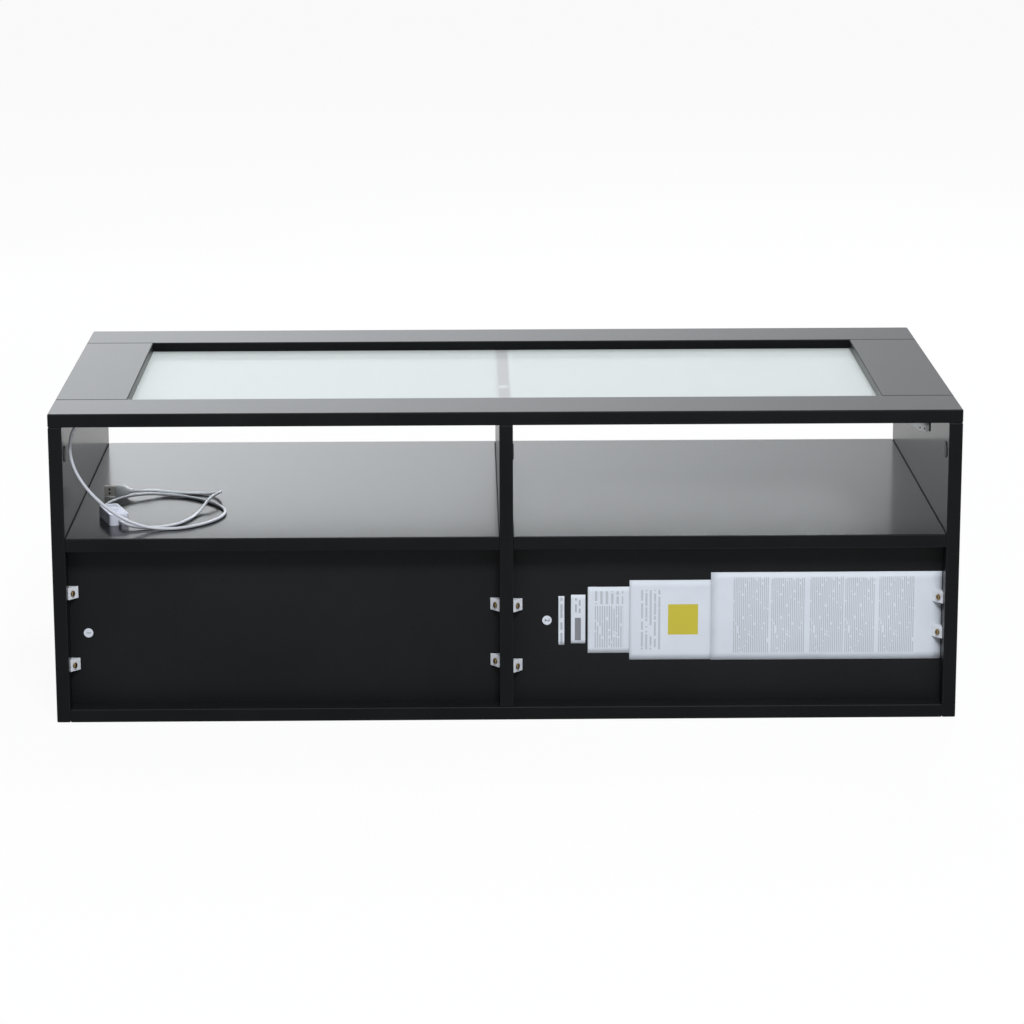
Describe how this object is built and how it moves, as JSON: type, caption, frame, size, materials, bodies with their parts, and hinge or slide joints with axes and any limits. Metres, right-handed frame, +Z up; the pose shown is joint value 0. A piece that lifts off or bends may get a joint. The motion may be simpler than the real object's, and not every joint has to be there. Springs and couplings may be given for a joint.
{
  "type": "collectors display table",
  "caption": "Low black table with a framed glass top over two open lit display bays, and two drawers on ball slides below.",
  "frame": {"origin": "on the floor, under the middle of the table", "axes": "+X along the length, to the right as seen from the pictured rear; +Y from that rear to the drawer fronts; +Z up"},
  "size_m": [1, 0.5, 0.35],
  "materials": {
    "black_board": "satin black foil on 15 mm particle board",
    "back_board": "black lacquered 5 mm fibreboard",
    "clear_glass": "clear float glass with ground edges",
    "zinc": "die-cast zinc cam",
    "steel": "zinc-plated steel",
    "beech": "bare fluted beech",
    "white_plastic": "moulded white plastic",
    "black_plastic": "moulded black plastic",
    "tape": "white flexible circuit tape",
    "chip": "light chip with a clear yellowish dome",
    "lead_jacket": "off-white soft jacket",
    "grip_grey": "grey moulded grip",
    "circuit": "green circuit board",
    "clear_pad": "soft clear pad"
  },
  "bodies": {
    "carcass": {"base_screws": "steel", "bottom_panel": "black_board", "cam_bolts": "steel", "cam_covers": "black_plastic", "cam_locks": "zinc", "centre_divider": "black_board", "chipboard_screws": "steel", "dowels": "beech", "front_top_rail": "black_board", "glass_clips": "black_plastic", "glass_pad": "clear_pad", "glass_top": "clear_glass", "led_chips": "chip", "led_lead": "lead_jacket", "led_strip": "tape", "left_back_panel": "back_board", "left_deck": "black_board", "left_side_panel": "black_board", "left_top_board": "black_board", "panel_wedges": "white_plastic", "rear_top_rail": "black_board", "right_back_panel": "back_board", "right_deck": "black_board", "right_side_panel": "black_board", "right_top_board": "black_board", "slide_outer_members": "steel", "solder_cover": "white_plastic", "switch_circuit_board": "circuit", "switch_lower_shell": "white_plastic", "switch_upper_shell": "white_plastic", "usb_lead": "lead_jacket", "usb_overmould": "grip_grey", "usb_shell": "steel", "usb_tongue": "white_plastic"},
    "left_drawer": {"left_drawer_back": "black_board", "left_drawer_back_screws": "steel", "left_drawer_bottom": "back_board", "left_drawer_cam_bolts": "steel", "left_drawer_cam_locks": "zinc", "left_drawer_front": "black_board", "left_drawer_inner_members": "steel", "left_drawer_left_side": "black_board", "left_drawer_right_side": "black_board", "left_drawer_slide_screws": "steel"},
    "right_drawer": {"right_drawer_back": "black_board", "right_drawer_back_screws": "steel", "right_drawer_bottom": "back_board", "right_drawer_cam_bolts": "steel", "right_drawer_cam_locks": "zinc", "right_drawer_front": "black_board", "right_drawer_inner_members": "steel", "right_drawer_left_side": "black_board", "right_drawer_right_side": "black_board", "right_drawer_slide_screws": "steel"},
    "left_slide_balls": {"left_ball_strips": "steel"},
    "right_slide_balls": {"right_ball_strips": "steel"},
    "switch_button": {"switch_button": "white_plastic"}
  },
  "joints": [
    {"name": "left_drawer_slide", "type": "slide", "parent": "carcass", "child": "left_drawer", "axis": [0, 1, 0], "range_m": [0, 0.28]},
    {"name": "left_balls_roll", "type": "slide", "parent": "carcass", "child": "left_slide_balls", "axis": [0, 1, 0], "range_m": [0, 0.14]},
    {"name": "right_drawer_slide", "type": "slide", "parent": "carcass", "child": "right_drawer", "axis": [0, 1, 0], "range_m": [0, 0.28]},
    {"name": "right_balls_roll", "type": "slide", "parent": "carcass", "child": "right_slide_balls", "axis": [0, 1, 0], "range_m": [0, 0.14]},
    {"name": "switch_press", "type": "slide", "parent": "carcass", "child": "switch_button", "axis": [0, 0, -1], "range_m": [0, 0.0008], "stiffness_N_per_m": 600}
  ],
  "couplings": [
    {"joint": "left_balls_roll", "follows": "left_drawer_slide", "ratio": 0.5},
    {"joint": "right_balls_roll", "follows": "right_drawer_slide", "ratio": 0.5}
  ]
}
